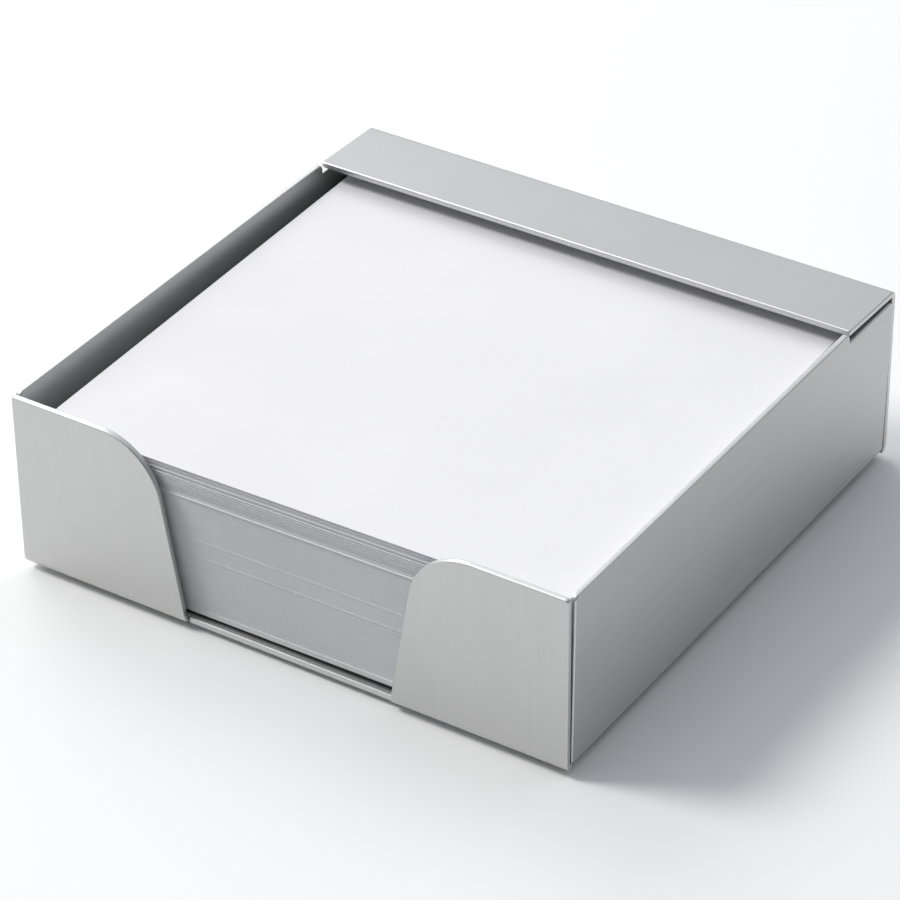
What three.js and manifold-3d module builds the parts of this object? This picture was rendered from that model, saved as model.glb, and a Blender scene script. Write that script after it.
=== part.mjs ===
import * as THREE from 'three';
import { mergeVertices } from 'three/addons/utils/BufferGeometryUtils.js';
import Module from 'manifold-3d';

// Memo holder: a folded sheet-metal tray with a finger slot, and a stack of loose square sheets in it.
// Millimetres, +Z up. X runs along the front, Y from the front to the back.

// Square memo sheets, and the play that the tray leaves them each way.
const memoWidth = 90;
const play = 4;

// Tray, one piece of sheet. Its height is taken from the underside of the base to the tops of the tabs.
const sheetThickness = 1.0;
const trayHeight = 30;
const baseBendInside = 0.3;
const wallLean = 0.4;

// Finger slot between the two front tabs, tapered outwards towards the top. Between them the base ends
// a little behind the tabs' faces, with a narrow relief notch beside each bend.
const slotWidth = 36;
const slotTaperDegrees = 9.7;
const slotCornerRadius = 10.5;
const tabCornerRadius = 0.6;
const baseSetback = 0.9;
const reliefWidth = 0.2;
const reliefPastBend = 0.5;

// Lip that the back wall is bent into. Its front edge springs back up a little.
const lipDepth = 15;
const lipBendInside = 0.3;
const lipSpringBack = 0.45;

// Side walls, and the seams that part them from the tabs and from the back wall.
const seamGap = 0.4;
const seamStart = 1.6;
const seamRootInset = 0.15;
const wallCornerRadius = 1.0;
const wallEndRadius = 1.0;
const wallEndGap = 0.5;
const wallToLipGap = 0.75;

// Thin liner glued to the base, and its distance from the bends round it.
const linerThickness = 0.4;
const linerGap = 0.8;

// Stack of loose sheets on a board. It is turned a little in the tray, more at the top than at the board.
const stackHeadroom = 3.2;
const boardThickness = 0.9;
const topSheetThickness = 0.1;
const bundleHeight = 0.61;
const airGap = 0.02;
const boardTurnDegrees = 0.5;
const topTurnDegrees = 1.1;
const stackSideGap = 0.4;
const stackFrontGap = 0.25;
const looseness = 0.05;
const protrusion = 0.15;
const proudLevel = 5.1;

// Self-adhesive pads under the base.
const padDiameter = 8;
const padHeight = 1.0;
const padChamfer = 0.25;
const padInset = 9;

// Fineness of round forms, and the overrun of tools and joints between panels.
const arcSteps = 5;
const padSides = 32;
const cutOverrun = 1;
const panelOverlap = 0.5;
const weldTolerance = 1e-5;
const goldenTurn = Math.PI * (3 - Math.sqrt(5));

const wasm = await Module();
wasm.setup();

const alongX = new THREE.Vector3(1, 0, 0);
const alongY = new THREE.Vector3(0, 1, 0);
const alongZ = new THREE.Vector3(0, 0, 1);
const quarterTurn = Math.PI / 2;

const traySide = memoWidth + play + 2 * sheetThickness;
const halfWidth = traySide / 2;
const halfSheet = sheetThickness / 2;
const bendReach = baseBendInside + sheetThickness;
const wallFront = sheetThickness + seamGap;
const wallBack = traySide - sheetThickness - seamGap;
const flatStart = bendReach + reliefPastBend;
const legEnd = flatStart + panelOverlap;
const lipFront = traySide - lipDepth;
const stackHeight = trayHeight - sheetThickness - linerThickness - stackHeadroom;
const boardTurn = THREE.MathUtils.degToRad(boardTurnDegrees);
const topTurn = THREE.MathUtils.degToRad(topTurnDegrees);

// Closed solid for joining and cutting, from a three.js geometry.
function toSolid(geometry) {
  geometry.deleteAttribute('normal');
  geometry.deleteAttribute('uv');
  const merged = mergeVertices(geometry, weldTolerance);
  const vertProperties = merged.attributes.position.array;
  const triVerts = new Uint32Array(merged.index.array);
  return new wasm.Manifold(new wasm.Mesh({ numProp: 3, vertProperties, triVerts }));
}

// three.js geometry from a solid.
function toGeometry(solid) {
  const mesh = solid.getMesh();
  const geometry = new THREE.BufferGeometry();
  geometry.setAttribute('position', new THREE.BufferAttribute(mesh.vertProperties, 3));
  geometry.setIndex(new THREE.BufferAttribute(mesh.triVerts, 1));
  const faceted = geometry.toNonIndexed();
  faceted.computeVertexNormals();
  return faceted;
}

// Solid of a shape, one unit deep, that the matrix stretches and places.
function extruded(shape, matrix) {
  const options = { depth: 1, bevelEnabled: false, curveSegments: arcSteps };
  return toSolid(new THREE.ExtrudeGeometry(shape, options).applyMatrix4(matrix));
}

// Solid of a shape drawn in (y, z), between two places along X.
function extrudeAlongX(shape, fromX, toX) {
  const depth = alongX.clone().multiplyScalar(toX - fromX);
  return extruded(shape, new THREE.Matrix4().makeBasis(alongY, alongZ, depth).setPosition(fromX, 0, 0));
}

// Solid of a shape drawn in (x, z), between two places along Y.
function extrudeAlongY(shape, fromY, toY) {
  const depth = alongY.clone().multiplyScalar(fromY - toY);
  return extruded(shape, new THREE.Matrix4().makeBasis(alongX, alongZ, depth).setPosition(0, toY, 0));
}

// Solid of a block between two places on each axis.
function block(fromX, toX, fromY, toY, fromZ, toZ) {
  const matrix = new THREE.Matrix4().makeScale(toX - fromX, toY - fromY, toZ - fromZ);
  matrix.setPosition((fromX + toX) / 2, (fromY + toY) / 2, (fromZ + toZ) / 2);
  return toSolid(new THREE.BoxGeometry(1, 1, 1).applyMatrix4(matrix));
}

// The same shape on the other side of the vertical axis.
function mirroredShape(shape) {
  const points = shape.getPoints(arcSteps).map((point) => new THREE.Vector2(-point.x, point.y));
  return new THREE.Shape(points.reverse());
}

// Places where a sheet's mid line enters and leaves each of its bends.
function bendsOf(path, insideRadii) {
  return insideRadii.map((insideRadius, index) => {
    const corner = path[index + 1];
    const incoming = corner.clone().sub(path[index]).normalize();
    const outgoing = path[index + 2].clone().sub(corner).normalize();
    const turn = Math.atan2(incoming.cross(outgoing), incoming.dot(outgoing));
    const midRadius = insideRadius + halfSheet;
    const reach = midRadius * Math.tan(Math.abs(turn) / 2);
    const start = corner.clone().addScaledVector(incoming, -reach);
    const towardsCentre = new THREE.Vector2(-incoming.y, incoming.x).multiplyScalar(Math.sign(turn));
    const centre = start.clone().addScaledVector(towardsCentre, midRadius);
    const startAngle = Math.atan2(-towardsCentre.y, -towardsCentre.x);
    return { centre, midRadius, turn, startAngle, endAngle: startAngle + turn };
  });
}

// Cross-section of a sheet whose mid line follows the path, with a round bend at each inner point.
function bentSheetShape(path, insideRadii) {
  const last = path.length - 1;
  const leftOf = (from, to) => new THREE.Vector2(from.y - to.y, to.x - from.x).setLength(halfSheet);
  const startOffset = leftOf(path[0], path[1]);
  const endOffset = leftOf(path[last - 1], path[last]);
  const bends = bendsOf(path, insideRadii);
  const shape = new THREE.Shape();
  shape.moveTo(path[0].x - startOffset.x, path[0].y - startOffset.y);
  shape.lineTo(path[0].x + startOffset.x, path[0].y + startOffset.y);
  for (const bend of bends) {
    const radius = bend.midRadius - Math.sign(bend.turn) * halfSheet;
    shape.absarc(bend.centre.x, bend.centre.y, radius, bend.startAngle, bend.endAngle, bend.turn < 0);
  }
  shape.lineTo(path[last].x + endOffset.x, path[last].y + endOffset.y);
  shape.lineTo(path[last].x - endOffset.x, path[last].y - endOffset.y);
  for (const bend of bends.reverse()) {
    const radius = bend.midRadius + Math.sign(bend.turn) * halfSheet;
    shape.absarc(bend.centre.x, bend.centre.y, radius, bend.endAngle, bend.startAngle, bend.turn > 0);
  }
  return shape;
}

// Face of the right front tab, drawn in (x, z): square outside, tapered and well rounded at the slot.
function tabOutline() {
  const taper = THREE.MathUtils.degToRad(slotTaperDegrees);
  const arcHeight = trayHeight - slotCornerRadius;
  const arcMiddle = slotWidth / 2 + arcHeight * Math.tan(taper) + slotCornerRadius / Math.cos(taper);
  const shape = new THREE.Shape();
  shape.moveTo(halfWidth, -cutOverrun);
  shape.lineTo(halfWidth, trayHeight - tabCornerRadius);
  shape.absarc(halfWidth - tabCornerRadius, trayHeight - tabCornerRadius, tabCornerRadius, 0, quarterTurn);
  shape.absarc(arcMiddle, arcHeight, slotCornerRadius, quarterTurn, 2 * quarterTurn - taper);
  shape.lineTo(slotWidth / 2, 0);
  shape.lineTo(slotWidth / 2, -cutOverrun);
  return shape;
}

// Both front tabs with the bend that joins them to the base.
function frontTabs() {
  const path = [
    new THREE.Vector2(legEnd, halfSheet),
    new THREE.Vector2(halfSheet, halfSheet),
    new THREE.Vector2(halfSheet, trayHeight),
  ];
  const sheet = extrudeAlongX(bentSheetShape(path, [baseBendInside]), -halfWidth, halfWidth);
  const outline = tabOutline();
  const past = legEnd + cutOverrun;
  const faces = extrudeAlongY(outline, -cutOverrun, past)
    .add(extrudeAlongY(mirroredShape(outline), -cutOverrun, past));
  return sheet.intersect(faces).subtract(wallPlaces());
}

// Room that the front and back panels leave to the side walls' bends.
function wallPlaces() {
  const from = halfWidth - legEnd;
  const to = halfWidth + cutOverrun;
  const height = sheetThickness + cutOverrun;
  return block(from, to, wallFront, wallBack, -cutOverrun, height)
    .add(block(-to, -from, wallFront, wallBack, -cutOverrun, height));
}

// Side view of a side wall, drawn in (y, z): its top steps down where the lip passes over it.
function wallOutline() {
  const wallEnd = lipFront - wallEndGap;
  const lowTop = trayHeight - sheetThickness - wallToLipGap;
  const shape = new THREE.Shape();
  shape.moveTo(wallBack, -cutOverrun);
  shape.lineTo(wallBack, lowTop - wallCornerRadius);
  shape.absarc(wallBack - wallCornerRadius, lowTop - wallCornerRadius, wallCornerRadius, 0, quarterTurn);
  shape.lineTo(wallEnd, lowTop);
  shape.lineTo(wallEnd, trayHeight - wallEndRadius);
  shape.absarc(wallEnd - wallEndRadius, trayHeight - wallEndRadius, wallEndRadius, 0, quarterTurn);
  const frontMiddle = wallFront + wallCornerRadius;
  shape.absarc(frontMiddle, trayHeight - wallCornerRadius, wallCornerRadius, quarterTurn, 2 * quarterTurn);
  shape.lineTo(wallFront, -cutOverrun);
  return shape;
}

// Both side walls, each with the bend that joins it to the base. They lean outwards.
function sideWalls() {
  const wallMiddle = halfWidth - halfSheet;
  const path = [
    new THREE.Vector2(halfWidth - legEnd, halfSheet),
    new THREE.Vector2(wallMiddle, halfSheet),
    new THREE.Vector2(wallMiddle + wallLean, trayHeight + cutOverrun),
  ];
  const section = bentSheetShape(path, [baseBendInside]);
  const right = extrudeAlongY(section, 0, traySide);
  const left = extrudeAlongY(mirroredShape(section), 0, traySide);
  const reach = halfWidth + wallLean + cutOverrun;
  return right.add(left).intersect(extrudeAlongX(wallOutline(), -reach, reach));
}

// Back wall over the full width, bent forward at the top into the lip.
function backWallWithLip() {
  const lipMiddleAt = (y) => trayHeight - halfSheet - lipSpringBack * (y - lipFront) / lipDepth;
  const wallMiddle = traySide - halfSheet;
  const path = [
    new THREE.Vector2(traySide - legEnd, halfSheet),
    new THREE.Vector2(wallMiddle, halfSheet),
    new THREE.Vector2(wallMiddle, lipMiddleAt(wallMiddle)),
    new THREE.Vector2(lipFront, lipMiddleAt(lipFront)),
  ];
  const section = bentSheetShape(path, [baseBendInside, lipBendInside]);
  return extrudeAlongX(section, -halfWidth, halfWidth).subtract(wallPlaces());
}

// Flat base, with the tongue that carries its cut edge forward between the tabs.
function basePanel() {
  const flatHalf = halfWidth - flatStart;
  const tongueHalf = slotWidth / 2 - reliefWidth;
  const flat = block(-flatHalf, flatHalf, flatStart, traySide - flatStart, 0, sheetThickness);
  return flat.add(block(-tongueHalf, tongueHalf, baseSetback, legEnd, 0, sheetThickness));
}

// Uncut root of the seam in each corner, where tab or back wall and side wall are still one sheet.
function seamRoots() {
  const inner = halfWidth - sheetThickness + seamRootInset;
  const outer = halfWidth - seamRootInset;
  const spans = [
    [halfSheet, wallFront + panelOverlap],
    [wallBack - panelOverlap, traySide - halfSheet],
  ];
  let roots = null;
  for (const [fromY, toY] of spans) {
    for (const [fromX, toX] of [[inner, outer], [-outer, -inner]]) {
      const root = block(fromX, toX, fromY, toY, halfSheet, seamStart);
      roots = roots ? roots.add(root) : root;
    }
  }
  return roots;
}

function trayMesh() {
  const solid = basePanel().add(frontTabs()).add(sideWalls()).add(backWallWithLip()).add(seamRoots());
  const material = new THREE.MeshStandardMaterial({ color: 0xbfc2c1, roughness: 0.42, metalness: 1 });
  return namedMesh('tray', toGeometry(solid), material);
}

function padMesh(name, x, y) {
  const radius = padDiameter / 2;
  const profile = [
    new THREE.Vector2(0, -padHeight),
    new THREE.Vector2(radius - padChamfer, -padHeight),
    new THREE.Vector2(radius, padChamfer - padHeight),
    new THREE.Vector2(radius, 0),
    new THREE.Vector2(0, 0),
  ];
  const geometry = new THREE.LatheGeometry(profile, padSides);
  geometry.rotateX(quarterTurn);
  const material = new THREE.MeshStandardMaterial({ color: 0x2e2f31, roughness: 0.8, metalness: 0 });
  const mesh = namedMesh(name, geometry, material);
  mesh.position.set(x, y, 0);
  return mesh;
}

// Liner that the stack stands on.
function linerMesh() {
  const reach = bendReach + linerGap;
  const side = traySide - 2 * reach;
  const geometry = new THREE.BoxGeometry(side, side, linerThickness);
  const material = new THREE.MeshStandardMaterial({ color: 0x1c1c1e, roughness: 0.9, metalness: 0 });
  const mesh = namedMesh('base_liner', geometry, material);
  mesh.position.set(0, reach + side / 2, sheetThickness + linerThickness / 2);
  return mesh;
}

// Square layer of the stack, turned about the middle of its front edge and shifted by a small amount.
function squareLayer(name, material, bottom, height, shiftX, shiftY) {
  const geometry = new THREE.BoxGeometry(memoWidth, memoWidth, height);
  geometry.translate(shiftX, memoWidth / 2 + shiftY, 0);
  const mesh = namedMesh(name, geometry, material);
  mesh.position.z = bottom + height / 2;
  mesh.rotation.z = boardTurn + (topTurn - boardTurn) * bottom / stackHeight;
  return mesh;
}

function boardMesh() {
  const material = new THREE.MeshStandardMaterial({ color: 0xd3d3d8, roughness: 0.85, metalness: 0 });
  return squareLayer('backing_board', material, airGap, boardThickness - airGap, 0, 0);
}

function paperMaterial() {
  return new THREE.MeshStandardMaterial({ color: 0xf1f1f6, roughness: 0.9, metalness: 0 });
}

// Loose sheets, gathered into bundles. One bundle stands proud of the stack's front.
function sheetBundles() {
  const looseHeight = stackHeight - boardThickness - topSheetThickness;
  const count = Math.max(1, Math.round(looseHeight / bundleHeight));
  const pitch = looseHeight / count;
  const proudIndex = count - 1 - Math.floor(proudLevel / pitch);
  const bundles = [];
  for (let index = 0; index < count; index += 1) {
    const shiftX = looseness * Math.sin(index * goldenTurn);
    const shiftY = index === proudIndex ? -protrusion : looseness * Math.cos(index * goldenTurn);
    const name = `memo_sheets_${String(index + 1).padStart(2, '0')}`;
    const bottom = boardThickness + index * pitch + airGap;
    bundles.push(squareLayer(name, paperMaterial(), bottom, pitch - airGap, shiftX, shiftY));
  }
  return bundles;
}

function topSheetMesh() {
  const bottom = stackHeight - topSheetThickness + airGap;
  return squareLayer('top_sheet', paperMaterial(), bottom, topSheetThickness - airGap, 0, 0);
}

function namedMesh(name, geometry, material) {
  const mesh = new THREE.Mesh(geometry, material);
  mesh.name = name;
  return mesh;
}

// Stack on the liner, with its front right corner near the right wall and its front left one near the tab.
function stackGroup() {
  const stack = new THREE.Group();
  stack.add(boardMesh(), ...sheetBundles(), topSheetMesh());
  const frontMiddleX = halfWidth - sheetThickness - stackSideGap - memoWidth / 2 * Math.cos(topTurn);
  const frontMiddleY = sheetThickness + stackFrontGap + memoWidth / 2 * Math.sin(topTurn);
  stack.position.set(frontMiddleX, frontMiddleY, sheetThickness + linerThickness);
  return stack;
}

function padMeshes() {
  const padX = halfWidth - padInset;
  return [
    padMesh('foot_front_left', -padX, padInset),
    padMesh('foot_front_right', padX, padInset),
    padMesh('foot_back_left', -padX, traySide - padInset),
    padMesh('foot_back_right', padX, traySide - padInset),
  ];
}

// The origin is on the desk, under the middle of the tray.
const group = new THREE.Group();
group.add(trayMesh(), linerMesh(), ...padMeshes(), stackGroup());
group.position.set(0, -traySide / 2, padHeight);

export default group;
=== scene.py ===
import math
import random

import bmesh
import bpy
from mathutils import Matrix, Vector


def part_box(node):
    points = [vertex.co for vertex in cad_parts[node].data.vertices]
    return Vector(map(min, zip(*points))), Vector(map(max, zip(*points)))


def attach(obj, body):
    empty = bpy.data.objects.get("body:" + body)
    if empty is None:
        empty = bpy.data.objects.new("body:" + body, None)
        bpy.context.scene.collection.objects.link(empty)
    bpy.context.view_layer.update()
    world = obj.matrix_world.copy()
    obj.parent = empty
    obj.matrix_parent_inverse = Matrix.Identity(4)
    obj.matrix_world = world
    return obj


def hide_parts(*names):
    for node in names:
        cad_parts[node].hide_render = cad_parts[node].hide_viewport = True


# Lengths are in millimetres until they are placed, and X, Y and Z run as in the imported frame.
METRES = 0.001

# Places that are closer than this count as one.
TOUCH = 0.001

# Tray of one piece of sheet, with its front face at y = 0 and its underside at z = 0.
SHEET = 1.0
HALF_WIDTH = 48.0
DEPTH = 96.0
HEIGHT = 30.0
PAD_HEIGHT = 1.0
BASE_BEND_INSIDE = 0.3
WALL_LEAN = 0.4
WALL_LEAN_SHARE = WALL_LEAN / (HEIGHT + SHEET / 2)

# Where the flat base ends and its panels begin, and how far a panel's ends are notched beside the fold.
FLAT_START = 1.8
PANEL_NOTCH = 2.3

# Finger slot between the tabs.
SLOT_HALF = 18.0
SLOT_TAPER = math.radians(9.7)
SLOT_CORNER = 10.5
TAB_CORNER = 0.6
BASE_SETBACK = 0.9
RELIEF = 0.2

# Lip of the back wall, and the side walls under it.
LIP_DEPTH = 15.0
LIP_BEND_INSIDE = 0.3
LIP_SPRING_BACK = 0.45
LIP_CORNER = 0.3
SEAM_GAP = 0.4
SEAM_ROOT_TOP = 1.6
SEAM_ROOT_INSET = 0.15
WALL_CORNER = 1.0
WALL_END_RADIUS = 1.0
WALL_END_GAP = 0.5
WALL_TO_LIP = 0.75
STEP_FILLET = 0.2

# Fineness of bends, outlines and edges.
BEND_STEPS = 12
ARC_STEPS = 14
EDGE_ROUNDING = 0.24
TONGUE_ROUNDING = 0.12
EDGE_STEPS = 4
SHARP_ANGLE = math.radians(38)

# Share of a normal that points out of the sheet, below which a face belongs to the cut edge.
SHEET_FACE_NORMAL = 0.95

# Stack of loose sheets, turned more at its top than at the board under it.
SHEETS_PER_BUNDLE = 6
SHEET_UNEVENNESS_SHARE = 0.35
SCATTER_SEED = 7
BOARD_TURN = math.radians(0.5)
TOP_TURN = math.radians(1.1)
STACK_SIDE_GAP = 0.4
STACK_FRONT_GAP = 0.25
MEMO_WIDTH = 90.0
SHEET_TWIST = math.radians(0.008)

# How far the sheets' edges scatter, and the share of the loosened upper sheets that stand proud.
LOOSENED_DEPTH = 4.8
LOOSENED_SCATTER = 0.03
SETTLED_SCATTER = 0.016
PROUD_SHARE = 0.24
PROUD_AMOUNT = 0.13

# Depth below the top of the stack, from and to, and how far the sheets there stand back from its front.
SET_BACK_SHEETS = [
    (0.0, 4.8, 0.2),
    (4.8, 5.0, 0.22),
    (5.0, 5.14, 0.0),
    (5.14, 12.0, 0.11),
    (12.0, 12.14, 0.07),
    (12.14, 15.0, 0.1),
    (15.0, 15.14, 0.05),
    (15.14, 27.0, 0.09),
]

# Colours of the finishes, darkest and lightest.
SATIN_COLOURS = ((0.57, 0.573, 0.566), (0.64, 0.643, 0.636))
CUT_COLOURS = ((0.58, 0.583, 0.578), (0.7, 0.703, 0.698))
PAPER_FACE_COLOURS = ((0.83, 0.822, 0.85), (0.91, 0.9, 0.925))
# Paper edges: the paper's own tone with a cool tint of painted shade, for the shaded front of the stack.
PAPER_EDGE_COOL_SHADE_COLOURS = ((0.8, 0.815, 0.835), (0.91, 0.925, 0.945))
CARD_COLOURS = ((0.88, 0.88, 0.9), (0.96, 0.96, 0.98))
RUBBER_COLOURS = ((0.018, 0.018, 0.02), (0.05, 0.05, 0.052))
# Liner near black: painted shade for the dark band under the board's front.
LINER_SHADE_COLOURS = ((0.006, 0.006, 0.007), (0.022, 0.022, 0.024))

# Roughness of the finishes, where they vary, and how far brushing stretches the highlights.
SATIN_ROUGHNESS = (0.46, 0.52)
SATIN_STRETCH = 0.45
CUT_ROUGHNESS = (0.38, 0.48)
RUBBER_ROUGHNESS = (0.7, 0.9)

# Depth of the finishes' relief.
SATIN_RELIEF = 0.02
CUT_RELIEF = 0.01
PAPER_RELIEF = 0.012
CARD_RELIEF = 0.03
RUBBER_RELIEF = 0.03
LINER_RELIEF = 0.05

# Part of a noise's range that is used.
NOISE_LOW = 0.3
NOISE_HIGH = 0.7

# How upright a paper surface's normal is on a cut edge and on a face; between the two, the edges' painted
# cool shade gives way to the face colour.
EDGE_UPRIGHT = 0.1
FACE_UPRIGHT = 0.9

# Camera, as fitted to the photograph, and the room around the object. In metres.
CAMERA_PLACE = (0.278656, -0.430577, 0.358148)
CAMERA_RIGHT = (0.84058286, 0.54161407, -0.00864068)
CAMERA_UP = (-0.29745043, 0.47485578, 0.82827244)
CAMERA_LENS = 162.401
CAMERA_SENSOR = 36.0
FLOOR_SIZE = 6.0

# Light of the room, from the dim side opposite the bright one to the bright side itself.
BRIGHT_SIDE = (-0.62, 0.50, 0.60)
DIMMEST = 0.04
BRIGHTEST = 0.86
DIM_FROM = -0.45
ROOM_COLOUR = (0.945, 0.995, 1.05)

# Round soft lamps: places and sizes in metres, and power in watts.
LAMP_COLOUR = (1.03, 1.0, 0.965)
KEY_PLACE = (-0.97, -0.39, 1.18)
KEY_SIZE = 0.5
KEY_POWER = 12.0
BACK_LEFT_PLACE = (-0.95, 0.6, 0.9)
BACK_LEFT_SIZE = 0.9
BACK_LEFT_POWER = 5.0

# Shares of light that the floor gives back: as it is seen, and as it lights the object.
FLOOR_SEEN = 0.97
FLOOR_BOUNCE = 0.5


# Direction to the left of a direction, in the plane of a section.
def left_of(direction):
    return Vector((-direction.y, direction.x))


# Mid line of a folded sheet: its places and normals, with round bends, and the distance along it.
def folded_line(path, inside_radii):
    corners = [Vector(corner) for corner in path]
    first = (corners[1] - corners[0]).normalized()
    last = (corners[-1] - corners[-2]).normalized()
    samples = [(corners[0], left_of(first))]
    for index, inside_radius in enumerate(inside_radii, start=1):
        incoming = (corners[index] - corners[index - 1]).normalized()
        outgoing = (corners[index + 1] - corners[index]).normalized()
        turn = math.atan2(incoming.x * outgoing.y - incoming.y * outgoing.x, incoming.dot(outgoing))
        radius = math.copysign(inside_radius + SHEET / 2, turn)
        reach = abs(radius) * math.tan(abs(turn) / 2)
        centre = corners[index] - incoming * reach + left_of(incoming) * radius
        for step in range(BEND_STEPS + 1):
            normal = Matrix.Rotation(turn * step / BEND_STEPS, 2) @ left_of(incoming)
            samples.append((centre - normal * radius, normal))
    samples.append((corners[-1], left_of(last)))
    distances = [0.0]
    for (before, _), (after, _) in zip(samples, samples[1:]):
        distances.append(distances[-1] + (after - before).length)
    return distances, samples


# Place on a folded sheet, from the distance along its mid line and the offset from it.
def place_on(line, distance, offset):
    distances, samples = line
    index = 0
    while index < len(distances) - 2 and distance > distances[index + 1]:
        index += 1
    share = (distance - distances[index]) / (distances[index + 1] - distances[index])
    place = samples[index][0].lerp(samples[index + 1][0], share)
    normal = samples[index][1].lerp(samples[index + 1][1], share)
    return place + normal * offset


# Points of an arc, from one angle to another.
def arc(centre, radius, start, end):
    points = []
    for step in range(ARC_STEPS + 1):
        angle = start + (end - start) * step / ARC_STEPS
        points.append((centre[0] + radius * math.cos(angle), centre[1] + radius * math.sin(angle)))
    return points


# Flat blank from its outline in (across, along), with rounded cut edges except where it stays sharp.
def flat_blank(outline, stays_sharp, rounding):
    mesh = bmesh.new()
    corners = [mesh.verts.new((across, along, -SHEET / 2)) for across, along in outline]
    face = mesh.faces.new(corners)
    raised = bmesh.ops.extrude_face_region(mesh, geom=[face])["geom"]
    moved = [item for item in raised if isinstance(item, bmesh.types.BMVert)]
    bmesh.ops.translate(mesh, vec=(0, 0, SHEET), verts=moved)
    rims = [edge for edge in mesh.edges if is_rim(edge) and not stays_sharp(edge)]
    bmesh.ops.bevel(mesh, geom=rims, offset=rounding, segments=EDGE_STEPS, profile=0.5, affect="EDGES")
    return mesh


# True for an edge round one of the blank's two faces.
def is_rim(edge):
    first, second = edge.verts
    return abs(first.co.z - second.co.z) < TOUCH


# True where a panel's blank joins the base.
def joins_base(edge):
    return max(vertex.co.y for vertex in edge.verts) < TOUCH


# True where the base's blank joins a panel, or its tongue lies beside a tab.
def meets_panel(edge):
    first, second = edge.verts
    joins = min(first.co.y, second.co.y) > FLAT_START + SHEET - TOUCH
    lies_beside = abs(first.co.x - second.co.x) < TOUCH
    return joins or lies_beside


# Folds a panel along a line and adds it to the tray. blank_of gives a point's place on the whole blank.
def add_panel(tray, uv, blank, line, across, outwards, blank_of):
    for distance in line[0][1:-1]:
        everything = blank.verts[:] + blank.edges[:] + blank.faces[:]
        bmesh.ops.bisect_plane(blank, geom=everything, plane_co=(0, distance, 0), plane_no=(0, 1, 0))
    copies = {}
    for vertex in blank.verts:
        out, up = place_on(line, vertex.co.y, vertex.co.z)
        place = across * vertex.co.x + outwards * out + Vector((0, 0, up))
        copies[vertex] = tray.verts.new(to_metres(place))
    for face in blank.faces:
        copy = tray.faces.new([copies[vertex] for vertex in face.verts])
        copy.material_index = 1 if is_on_cut(face) else 0
        for loop, vertex in zip(copy.loops, face.verts):
            loop[uv].uv = blank_of(vertex.co.x, vertex.co.y)
    blank.free()


# True for a face of the cut edge, with its rounding, and not for the sheet's own two faces.
def is_on_cut(face):
    return abs(face.normal.z) < SHEET_FACE_NORMAL


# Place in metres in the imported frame, from a place on the tray.
def to_metres(place):
    return Vector((place.x, place.y - DEPTH / 2, place.z + PAD_HEIGHT)) * METRES


# Outline of a front tab in (across, along), where along ends at the tab's top.
def tab_outline(reach):
    base = reach - HEIGHT
    arc_height = HEIGHT - SLOT_CORNER
    arc_across = SLOT_HALF + arc_height * math.tan(SLOT_TAPER) + SLOT_CORNER / math.cos(SLOT_TAPER)
    outline = [
        (SLOT_HALF, 0.0),
        (HALF_WIDTH - PANEL_NOTCH, 0.0),
        (HALF_WIDTH - PANEL_NOTCH, SEAM_GAP),
        (HALF_WIDTH, SEAM_GAP),
    ]
    outline += arc((HALF_WIDTH - TAB_CORNER, reach - TAB_CORNER), TAB_CORNER, 0, math.pi / 2)
    outline += arc((arc_across, base + arc_height), SLOT_CORNER, math.pi / 2, math.pi - SLOT_TAPER)
    outline.append((SLOT_HALF, base))
    return outline


# Front tabs, with the finger slot between them.
def add_front_tabs(tray, uv):
    path = [(FLAT_START, SHEET / 2), (SHEET / 2, SHEET / 2), (SHEET / 2, HEIGHT)]
    line = folded_line(path, [BASE_BEND_INSIDE])
    outline = tab_outline(line[0][-1])
    for side in (1, -1):
        across = Vector((side, 0, 0))
        blank_of = lambda u, s, side=side: (side * u, FLAT_START - s)
        blank = flat_blank(outline, joins_base, EDGE_ROUNDING)
        add_panel(tray, uv, blank, line, across, Vector((0, 1, 0)), blank_of)


# Outline of a side wall in (across, along), with its top stepped down under the lip.
def wall_outline(reach):
    front = SHEET + SEAM_GAP
    back = DEPTH - SHEET - SEAM_GAP
    end = DEPTH - LIP_DEPTH - WALL_END_GAP
    low = reach - SHEET - WALL_TO_LIP
    outline = [(front, 0.0), (back, 0.0)]
    outline += arc((back - WALL_CORNER, low - WALL_CORNER), WALL_CORNER, 0, math.pi / 2)
    outline += arc((end + STEP_FILLET, low + STEP_FILLET), STEP_FILLET, 1.5 * math.pi, math.pi)
    outline += arc((end - WALL_END_RADIUS, reach - WALL_END_RADIUS), WALL_END_RADIUS, 0, math.pi / 2)
    outline += arc((front + WALL_CORNER, reach - WALL_CORNER), WALL_CORNER, math.pi / 2, math.pi)
    return outline


# Side walls, leaning out a little.
def add_side_walls(tray, uv):
    middle = HALF_WIDTH - SHEET / 2
    top = HEIGHT - WALL_LEAN_SHARE * SHEET / 2
    lean = WALL_LEAN_SHARE * (top - SHEET / 2)
    path = [(HALF_WIDTH - FLAT_START, SHEET / 2), (middle, SHEET / 2), (middle + lean, top)]
    line = folded_line(path, [BASE_BEND_INSIDE])
    outline = wall_outline(line[0][-1])
    for side in (1, -1):
        outwards = Vector((side, 0, 0))
        blank_of = lambda u, s, side=side: (side * (HALF_WIDTH - FLAT_START + s), u)
        blank = flat_blank(outline, joins_base, EDGE_ROUNDING)
        add_panel(tray, uv, blank, line, Vector((0, 1, 0)), outwards, blank_of)


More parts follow.
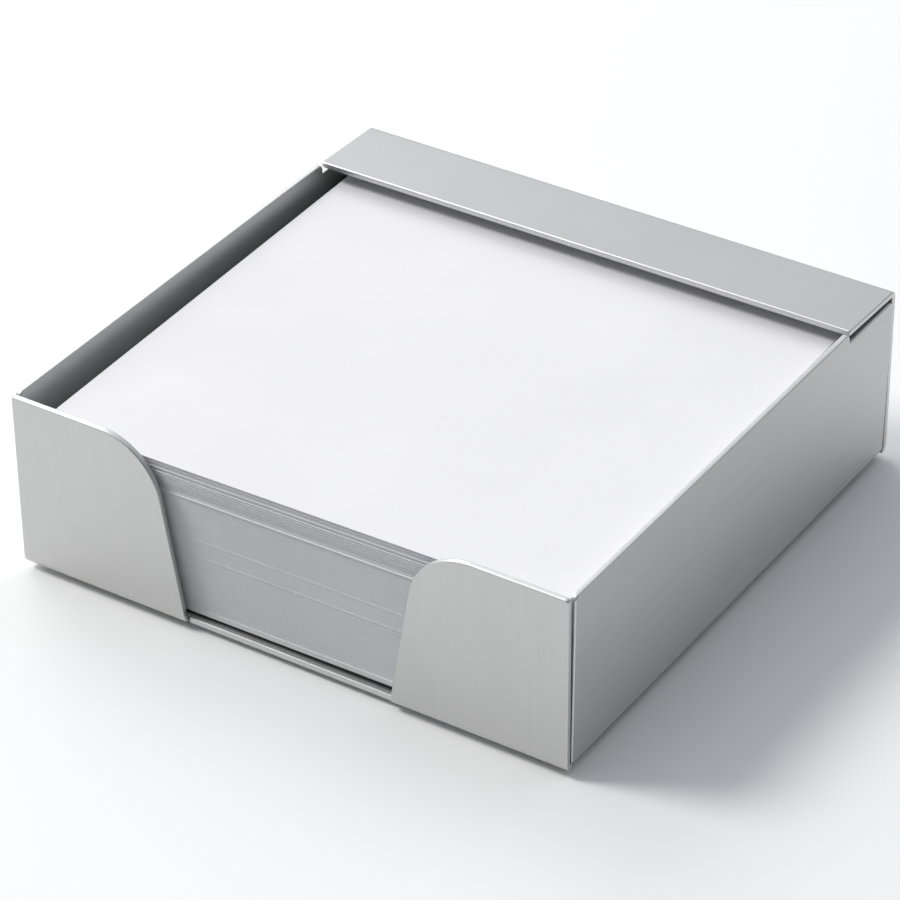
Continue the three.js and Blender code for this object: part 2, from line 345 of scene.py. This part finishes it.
# Back wall, bent into the lip that springs up to its front edge.
def add_back_wall(tray, uv):
    middle = DEPTH - SHEET / 2
    lip_front = DEPTH - LIP_DEPTH
    front_height = HEIGHT - SHEET / 2
    back_height = front_height - LIP_SPRING_BACK * (middle - lip_front) / LIP_DEPTH
    path = [
        (DEPTH - FLAT_START, SHEET / 2),
        (middle, SHEET / 2),
        (middle, back_height),
        (lip_front, front_height),
    ]
    line = folded_line(path, [BASE_BEND_INSIDE, LIP_BEND_INSIDE])
    reach = line[0][-1]
    half = [(HALF_WIDTH - PANEL_NOTCH, 0.0), (HALF_WIDTH - PANEL_NOTCH, SEAM_GAP), (HALF_WIDTH, SEAM_GAP)]
    half += arc((HALF_WIDTH - LIP_CORNER, reach - LIP_CORNER), LIP_CORNER, 0, math.pi / 2)
    outline = half + [(-across, along) for across, along in reversed(half)]
    blank_of = lambda u, s: (u, DEPTH - FLAT_START + s)
    blank = flat_blank(outline, joins_base, EDGE_ROUNDING)
    add_panel(tray, uv, blank, line, Vector((1, 0, 0)), Vector((0, 1, 0)), blank_of)


# Base, with the tongue that carries its cut edge forward between the tabs.
def add_base(tray, uv):
    half = HALF_WIDTH - FLAT_START
    tongue = SLOT_HALF - RELIEF
    outline = [
        (-tongue, BASE_SETBACK),
        (tongue, BASE_SETBACK),
        (tongue, FLAT_START),
        (half, FLAT_START),
        (half, DEPTH - FLAT_START),
        (-half, DEPTH - FLAT_START),
        (-half, FLAT_START),
        (-tongue, FLAT_START),
    ]
    line = folded_line([(-SHEET, SHEET / 2), (DEPTH, SHEET / 2)], [])
    lifted = [(across, along + SHEET) for across, along in outline]
    blank = flat_blank(lifted, meets_panel, TONGUE_ROUNDING)
    blank_of = lambda u, s: (u, s - SHEET)
    add_panel(tray, uv, blank, line, Vector((1, 0, 0)), Vector((0, 1, 0)), blank_of)


# Uncut root of the seam in each corner.
def add_seam_roots(tray, uv):
    size_x = SHEET - 2 * SEAM_ROOT_INSET
    size_y = SHEET / 2 + SEAM_GAP + SHEET / 2
    size_z = SEAM_ROOT_TOP - SHEET / 2
    for side in (1, -1):
        for middle_y in (SHEET / 2 + size_y / 2, DEPTH - SHEET / 2 - size_y / 2):
            middle = Vector((side * (HALF_WIDTH - SHEET / 2), middle_y, SHEET / 2 + size_z / 2))
            made = bmesh.ops.create_cube(tray, size=1)["verts"]
            bmesh.ops.scale(tray, vec=(size_x, size_y, size_z), verts=made)
            for vertex in made:
                vertex.co = to_metres(vertex.co + middle)


# Finished object from its mesh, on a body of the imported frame.
def add_piece(name, mesh, materials, body, nodes):
    bmesh.ops.recalc_face_normals(mesh, faces=mesh.faces)
    data = bpy.data.meshes.new(name)
    mesh.to_mesh(data)
    mesh.free()
    for material in materials:
        data.materials.append(material)
    piece = bpy.data.objects.new(name, data)
    bpy.context.scene.collection.objects.link(piece)
    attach(piece, body)
    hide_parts(*nodes)
    return piece


# Smooth bends and rounded edges beside faces that stay flat.
def smooth(piece):
    piece.data.shade_smooth()
    piece.data.set_sharp_from_angle(angle=SHARP_ANGLE)
    weighted = piece.modifiers.new("flat_faces", "WEIGHTED_NORMAL")
    weighted.keep_sharp = True


# Whole folded tray, in place of its solid.
def add_tray(sheet_metal, cut_metal):
    tray = bmesh.new()
    uv = tray.loops.layers.uv.new("blank")
    add_base(tray, uv)
    add_front_tabs(tray, uv)
    add_side_walls(tray, uv)
    add_back_wall(tray, uv)
    add_seam_roots(tray, uv)
    piece = add_piece("folded_tray", tray, [sheet_metal, cut_metal], "tray", ["tray"])
    smooth(piece)


# How far a sheet stands back from the stack's front, by its depth below the top.
def set_back_by(depth):
    for from_depth, to_depth, amount in SET_BACK_SHEETS:
        if from_depth <= depth < to_depth:
            return amount
    return 0.0


# One loose sheet between two heights, turned about the middle of the stack's front.
def add_sheet(mesh, bottom, top, stack_bottom, stack_top, dice):
    share = (bottom - stack_bottom) / (stack_top - stack_bottom)
    angle = BOARD_TURN + (TOP_TURN - BOARD_TURN) * share + dice.uniform(-SHEET_TWIST, SHEET_TWIST)
    turn = Matrix.Rotation(angle, 3, "Z")
    half = MEMO_WIDTH / 2
    depth = stack_top - (bottom + top) / 2
    scatter = LOOSENED_SCATTER if depth < LOOSENED_DEPTH else SETTLED_SCATTER
    side_shift = dice.uniform(-scatter, scatter)
    front_shift = dice.uniform(0, scatter) + set_back_by(depth)
    if depth < LOOSENED_DEPTH and dice.random() < PROUD_SHARE:
        front_shift -= PROUD_AMOUNT
    front_x = HALF_WIDTH - SHEET - STACK_SIDE_GAP - half * math.cos(TOP_TURN)
    front_y = SHEET + STACK_FRONT_GAP + half * math.sin(TOP_TURN)
    made = bmesh.ops.create_cube(mesh, size=1)["verts"]
    for vertex in made:
        along = (vertex.co.y + 0.5) * MEMO_WIDTH + front_shift
        flat = Vector((vertex.co.x * MEMO_WIDTH + side_shift, along, 0))
        place = to_metres(turn @ flat + Vector((front_x, front_y, 0)))
        height = top if vertex.co.z > 0 else bottom
        vertex.co = Vector((place.x, place.y, height * METRES))


# Loose sheets, in place of the bundles.
def add_sheets(paper):
    stack_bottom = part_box("backing_board")[0][2] / METRES
    stack_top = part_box("top_sheet")[1][2] / METRES
    dice = random.Random(SCATTER_SEED)
    names = sorted(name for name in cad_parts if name.startswith("memo_sheets_"))
    for name in names:
        bottom, top = (corner[2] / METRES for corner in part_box(name))
        pitch = (top - bottom) / SHEETS_PER_BUNDLE
        unevenness = pitch * SHEET_UNEVENNESS_SHARE
        levels = [bottom + pitch * index for index in range(SHEETS_PER_BUNDLE + 1)]
        for index in range(1, SHEETS_PER_BUNDLE):
            levels[index] += dice.uniform(-unevenness, unevenness)
        mesh = bmesh.new()
        for sheet_bottom, sheet_top in zip(levels, levels[1:]):
            add_sheet(mesh, sheet_bottom, sheet_top, stack_bottom, stack_top, dice)
        add_piece(name.replace("memo_sheets", "loose_sheets"), mesh, [paper], "stack", [name])


# Adds a node to a material, sets its inputs by name, and links those that are sockets.
def add_node(tree, kind, **inputs):
    node = tree.nodes.new(kind)
    for name, value in inputs.items():
        socket = node.inputs[name.replace("_", " ")]
        if isinstance(value, bpy.types.NodeSocket):
            tree.links.new(value, socket)
        else:
            socket.default_value = value
    return node


# New material with a shader of the given finish, and the tree of its nodes.
def new_material(name, **finish):
    material = bpy.data.materials.new(name)
    material.use_nodes = True
    tree = material.node_tree
    shader = next(node for node in tree.nodes if node.type == "BSDF_PRINCIPLED")
    for key, value in finish.items():
        shader.inputs[key.replace("_", " ")].default_value = value
    return material, tree, shader


# Noise with a scale for each axis, in waves per unit of the coordinates.
def add_noise(tree, vector, scale, detail=4.0, roughness=0.55):
    mapping = add_node(tree, "ShaderNodeMapping", Vector=vector, Scale=scale)
    noise = add_node(tree, "ShaderNodeTexNoise", Vector=mapping.outputs["Vector"], Scale=1.0)
    noise.inputs["Detail"].default_value = detail
    noise.inputs["Roughness"].default_value = roughness
    return noise.outputs["Fac"]


# A value's range from from_low to from_high, spread between two numbers.
def spread(tree, value, low, high, from_low=NOISE_LOW, from_high=NOISE_HIGH):
    ranged = add_node(tree, "ShaderNodeMapRange", Value=value)
    ranged.inputs["From Min"].default_value = from_low
    ranged.inputs["From Max"].default_value = from_high
    ranged.inputs["To Min"].default_value = low
    ranged.inputs["To Max"].default_value = high
    return ranged.outputs["Result"]


# Colour between two others, by a value of 0 to 1.
def tint(tree, value, dark, light):
    mix = tree.nodes.new("ShaderNodeMix")
    mix.data_type = "RGBA"
    tree.links.new(value, mix.inputs["Factor"])
    ends = [socket for socket in mix.inputs if socket.type == "RGBA"]
    for socket, colour in zip(ends, (dark, light)):
        if isinstance(colour, bpy.types.NodeSocket):
            tree.links.new(colour, socket)
        else:
            socket.default_value = (*colour, 1)
    return next(socket for socket in mix.outputs if socket.type == "RGBA")


# Direction that a surface faces, without its bump.
def faced_way(tree):
    return tree.nodes.new("ShaderNodeNewGeometry").outputs["True Normal"]


# Relief of a surface from a height of 0 to 1.
def add_bump(tree, shader, height, strength, depth):
    bump = add_node(tree, "ShaderNodeBump", Height=height, Strength=strength, Distance=depth * METRES)
    tree.links.new(bump.outputs["Normal"], shader.inputs["Normal"])


# Sum of two values, each times its share.
def blend_of(tree, first, first_share, second, second_share):
    left = tree.nodes.new("ShaderNodeMath")
    left.operation = "MULTIPLY"
    tree.links.new(first, left.inputs[0])
    left.inputs[1].default_value = first_share
    both = tree.nodes.new("ShaderNodeMath")
    both.operation = "MULTIPLY_ADD"
    tree.links.new(second, both.inputs[0])
    both.inputs[1].default_value = second_share
    tree.links.new(left.outputs[0], both.inputs[2])
    return both.outputs[0]


# Satin aluminium, brushed along the blank from front to back before it was folded.
def brushed_metal():
    material, tree, shader = new_material("satin_aluminium", Metallic=1.0)
    blank = add_node(tree, "ShaderNodeUVMap")
    blank.uv_map = "blank"
    coordinates = blank.outputs["UV"]
    fine = add_noise(tree, coordinates, scale=(9.0, 0.09, 1.0), detail=3.0)
    broad = add_noise(tree, coordinates, scale=(1.3, 0.03, 1.0), detail=4.0)
    cloud = add_noise(tree, coordinates, scale=(0.05, 0.03, 1.0), detail=3.0)
    streaks = blend_of(tree, fine, 0.6, broad, 0.4)
    handled = blend_of(tree, streaks, 0.6, cloud, 0.4)
    colour = tint(tree, spread(tree, handled, 0.0, 1.0), *SATIN_COLOURS)
    tree.links.new(colour, shader.inputs["Base Color"])
    tree.links.new(spread(tree, handled, *SATIN_ROUGHNESS), shader.inputs["Roughness"])
    tangent = tree.nodes.new("ShaderNodeTangent")
    tangent.direction_type = "UV_MAP"
    tangent.uv_map = "blank"
    tree.links.new(tangent.outputs["Tangent"], shader.inputs["Tangent"])
    shader.inputs["Anisotropic"].default_value = SATIN_STRETCH
    add_bump(tree, shader, streaks, strength=0.08, depth=SATIN_RELIEF)
    return material


# Cut edge of the same sheet: blanked, deburred and anodised, with faint marks across it.
def cut_metal():
    material, tree, shader = new_material("cut_aluminium", Metallic=1.0)
    place = tree.nodes.new("ShaderNodeTexCoord").outputs["Object"]
    marks = add_noise(tree, place, scale=(2600.0, 2600.0, 900.0), detail=3.0)
    worn = add_noise(tree, place, scale=(140.0, 140.0, 140.0), detail=5.0)
    both = blend_of(tree, marks, 0.5, worn, 0.5)
    colour = tint(tree, spread(tree, both, 0.0, 1.0), *CUT_COLOURS)
    tree.links.new(colour, shader.inputs["Base Color"])
    tree.links.new(spread(tree, both, *CUT_ROUGHNESS), shader.inputs["Roughness"])
    add_bump(tree, shader, marks, strength=0.1, depth=CUT_RELIEF)
    return material


# Uncoated white paper: cloudy fibres on its faces, and fine layers where many cut edges lie together.
# Sideways faces, such as the stack's front, get the paper's own tone with a cooler tint added, which is
# painted shade.
def paper_material():
    material, tree, shader = new_material("white_paper", Roughness=0.88)
    place = tree.nodes.new("ShaderNodeTexCoord").outputs["Object"]
    fibres = add_noise(tree, place, scale=(2200.0, 2600.0, 2200.0), detail=5.0)
    cloud = add_noise(tree, place, scale=(60.0, 60.0, 60.0), detail=4.0)
    layers = add_noise(tree, place, scale=(25.0, 25.0, 9000.0), detail=3.0)
    both = blend_of(tree, fibres, 0.35, cloud, 0.3)
    handled = spread(tree, blend_of(tree, both, 1.0, layers, 0.35), 0.0, 1.0)
    face = tint(tree, handled, *PAPER_FACE_COLOURS)
    # Colour of the sideways edges, with its cool tint of painted shade.
    edge = tint(tree, handled, *PAPER_EDGE_COOL_SHADE_COLOURS)
    upright = add_node(tree, "ShaderNodeSeparateXYZ", Vector=faced_way(tree)).outputs["Z"]
    # Sideways-facing paper takes the edge colour with its painted cool shade, and upright paper takes the
    # face colour.
    colour = tint(tree, spread(tree, upright, 0.0, 1.0, EDGE_UPRIGHT, FACE_UPRIGHT), edge, face)
    tree.links.new(colour, shader.inputs["Base Color"])
    add_bump(tree, shader, fibres, strength=0.2, depth=PAPER_RELIEF)
    return material


# Pale card: pressed layers on its cut edge and a slightly mottled face.
def board_material():
    material, tree, shader = new_material("pale_card", Roughness=0.85)
    place = tree.nodes.new("ShaderNodeTexCoord").outputs["Object"]
    layers = add_noise(tree, place, scale=(180.0, 180.0, 7000.0), detail=4.0)
    specks = add_noise(tree, place, scale=(1500.0, 1500.0, 1500.0), detail=5.0)
    both = blend_of(tree, layers, 0.6, specks, 0.4)
    colour = tint(tree, spread(tree, both, 0.0, 1.0), *CARD_COLOURS)
    tree.links.new(colour, shader.inputs["Base Color"])
    add_bump(tree, shader, both, strength=0.3, depth=CARD_RELIEF)
    return material


# Dark rubber of the pads, with a fine grain and a little dust.
def rubber_material():
    material, tree, shader = new_material("dark_rubber", Roughness=0.8)
    place = tree.nodes.new("ShaderNodeTexCoord").outputs["Object"]
    grain = add_noise(tree, place, scale=(4200.0, 4200.0, 4200.0), detail=4.0)
    dust = add_noise(tree, place, scale=(350.0, 350.0, 350.0), detail=5.0)
    both = blend_of(tree, grain, 0.5, dust, 0.5)
    colour = tint(tree, spread(tree, both, 0.0, 1.0), *RUBBER_COLOURS)
    tree.links.new(colour, shader.inputs["Base Color"])
    tree.links.new(spread(tree, dust, *RUBBER_ROUGHNESS), shader.inputs["Roughness"])
    add_bump(tree, shader, grain, strength=0.4, depth=RUBBER_RELIEF)
    return material


# Thin liner under the stack, near black as painted shade for the dark band under the board's front: matt,
# with a fine fibrous grain and paper dust.
def shaded_liner_material():
    material, tree, shader = new_material("liner_painted_shade", Roughness=0.95)
    place = tree.nodes.new("ShaderNodeTexCoord").outputs["Object"]
    fibres = add_noise(tree, place, scale=(2400.0, 2400.0, 5200.0), detail=5.0)
    dust = add_noise(tree, place, scale=(500.0, 500.0, 500.0), detail=5.0)
    both = blend_of(tree, fibres, 0.5, dust, 0.5)
    # Near-black colour: painted shade under the board.
    colour = tint(tree, spread(tree, both, 0.0, 1.0), *LINER_SHADE_COLOURS)
    tree.links.new(colour, shader.inputs["Base Color"])
    add_bump(tree, shader, fibres, strength=0.5, depth=LINER_RELIEF)
    return material


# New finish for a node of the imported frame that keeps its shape.
def refinish(name, material):
    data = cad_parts[name].data
    data.materials.clear()
    data.materials.append(material)


# Pale floor that keeps shadows. It is seen, and mirrored, paler than it lights the object.
def floor_material():
    material, tree, shader = new_material("pale_floor", Roughness=0.9)
    shader.inputs["Specular IOR Level"].default_value = 0.0
    rays = tree.nodes.new("ShaderNodeLightPath").outputs
    mirrored = tree.nodes.new("ShaderNodeMath")
    seen = tree.nodes.new("ShaderNodeMath")
    seen.use_clamp = True
    tree.links.new(rays["Is Glossy Ray"], mirrored.inputs[0])
    tree.links.new(rays["Is Transmission Ray"], mirrored.inputs[1])
    tree.links.new(mirrored.outputs[0], seen.inputs[0])
    tree.links.new(rays["Is Camera Ray"], seen.inputs[1])
    colour = tint(tree, seen.outputs[0], (FLOOR_BOUNCE,) * 3, (FLOOR_SEEN,) * 3)
    tree.links.new(colour, shader.inputs["Base Color"])
    return material


# Floor under the object.
def add_floor():
    mesh = bmesh.new()
    bmesh.ops.create_grid(mesh, x_segments=1, y_segments=1, size=FLOOR_SIZE / 2)
    data = bpy.data.meshes.new("floor")
    mesh.to_mesh(data)
    mesh.free()
    data.materials.append(floor_material())
    floor = bpy.data.objects.new("floor", data)
    bpy.context.scene.collection.objects.link(floor)


# Round soft lamp that points at the object.
def add_lamp(name, place, size, power):
    light = bpy.data.lights.new(name, "AREA")
    light.color = LAMP_COLOUR
    light.shape = "DISK"
    light.size = size
    light.energy = power
    lamp = bpy.data.objects.new(name, light)
    lamp.location = place
    lamp.rotation_euler = Vector(place).to_track_quat("Z", "Y").to_euler()
    bpy.context.scene.collection.objects.link(lamp)


# Soft light from all round, brighter from one side.
def add_world():
    world = bpy.data.worlds.new("studio")
    world.use_nodes = True
    tree = world.node_tree
    background = tree.nodes["Background"]
    background.inputs["Color"].default_value = (*ROOM_COLOUR, 1)
    direction = tree.nodes.new("ShaderNodeTexCoord").outputs["Generated"]
    facing = tree.nodes.new("ShaderNodeVectorMath")
    facing.operation = "DOT_PRODUCT"
    tree.links.new(direction, facing.inputs[0])
    facing.inputs[1].default_value = BRIGHT_SIDE
    strength = spread(tree, facing.outputs["Value"], DIMMEST, BRIGHTEST, DIM_FROM, 1.0)
    tree.links.new(strength, background.inputs["Strength"])
    bpy.context.scene.world = world


# Camera from its place and its directions.
def add_camera():
    data = bpy.data.cameras.new("camera")
    data.lens = CAMERA_LENS
    data.sensor_width = CAMERA_SENSOR
    camera = bpy.data.objects.new("camera", data)
    right = Vector(CAMERA_RIGHT)
    up = Vector(CAMERA_UP)
    turn = Matrix((right, up, right.cross(up))).transposed()
    camera.matrix_world = Matrix.Translation(CAMERA_PLACE) @ turn.to_4x4()
    bpy.context.scene.collection.objects.link(camera)
    bpy.context.scene.camera = camera


def main():
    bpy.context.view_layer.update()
    paper = paper_material()
    add_tray(brushed_metal(), cut_metal())
    add_sheets(paper)
    refinish("top_sheet", paper)
    refinish("backing_board", board_material())
    # Liner under the stack, coloured near black as painted shade.
    refinish("base_liner", shaded_liner_material())
    rubber = rubber_material()
    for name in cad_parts:
        if name.startswith("foot_"):
            refinish(name, rubber)
    add_floor()
    add_lamp("key", KEY_PLACE, KEY_SIZE, KEY_POWER)
    add_lamp("back_left", BACK_LEFT_PLACE, BACK_LEFT_SIZE, BACK_LEFT_POWER)
    add_world()
    add_camera()
    bpy.context.scene.view_settings.view_transform = "Standard"


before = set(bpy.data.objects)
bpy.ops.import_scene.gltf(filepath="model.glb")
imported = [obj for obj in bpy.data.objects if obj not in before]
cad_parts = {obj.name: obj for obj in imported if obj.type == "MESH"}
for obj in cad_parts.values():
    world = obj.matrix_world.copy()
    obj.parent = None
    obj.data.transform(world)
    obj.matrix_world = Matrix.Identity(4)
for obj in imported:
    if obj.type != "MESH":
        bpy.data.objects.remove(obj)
main()
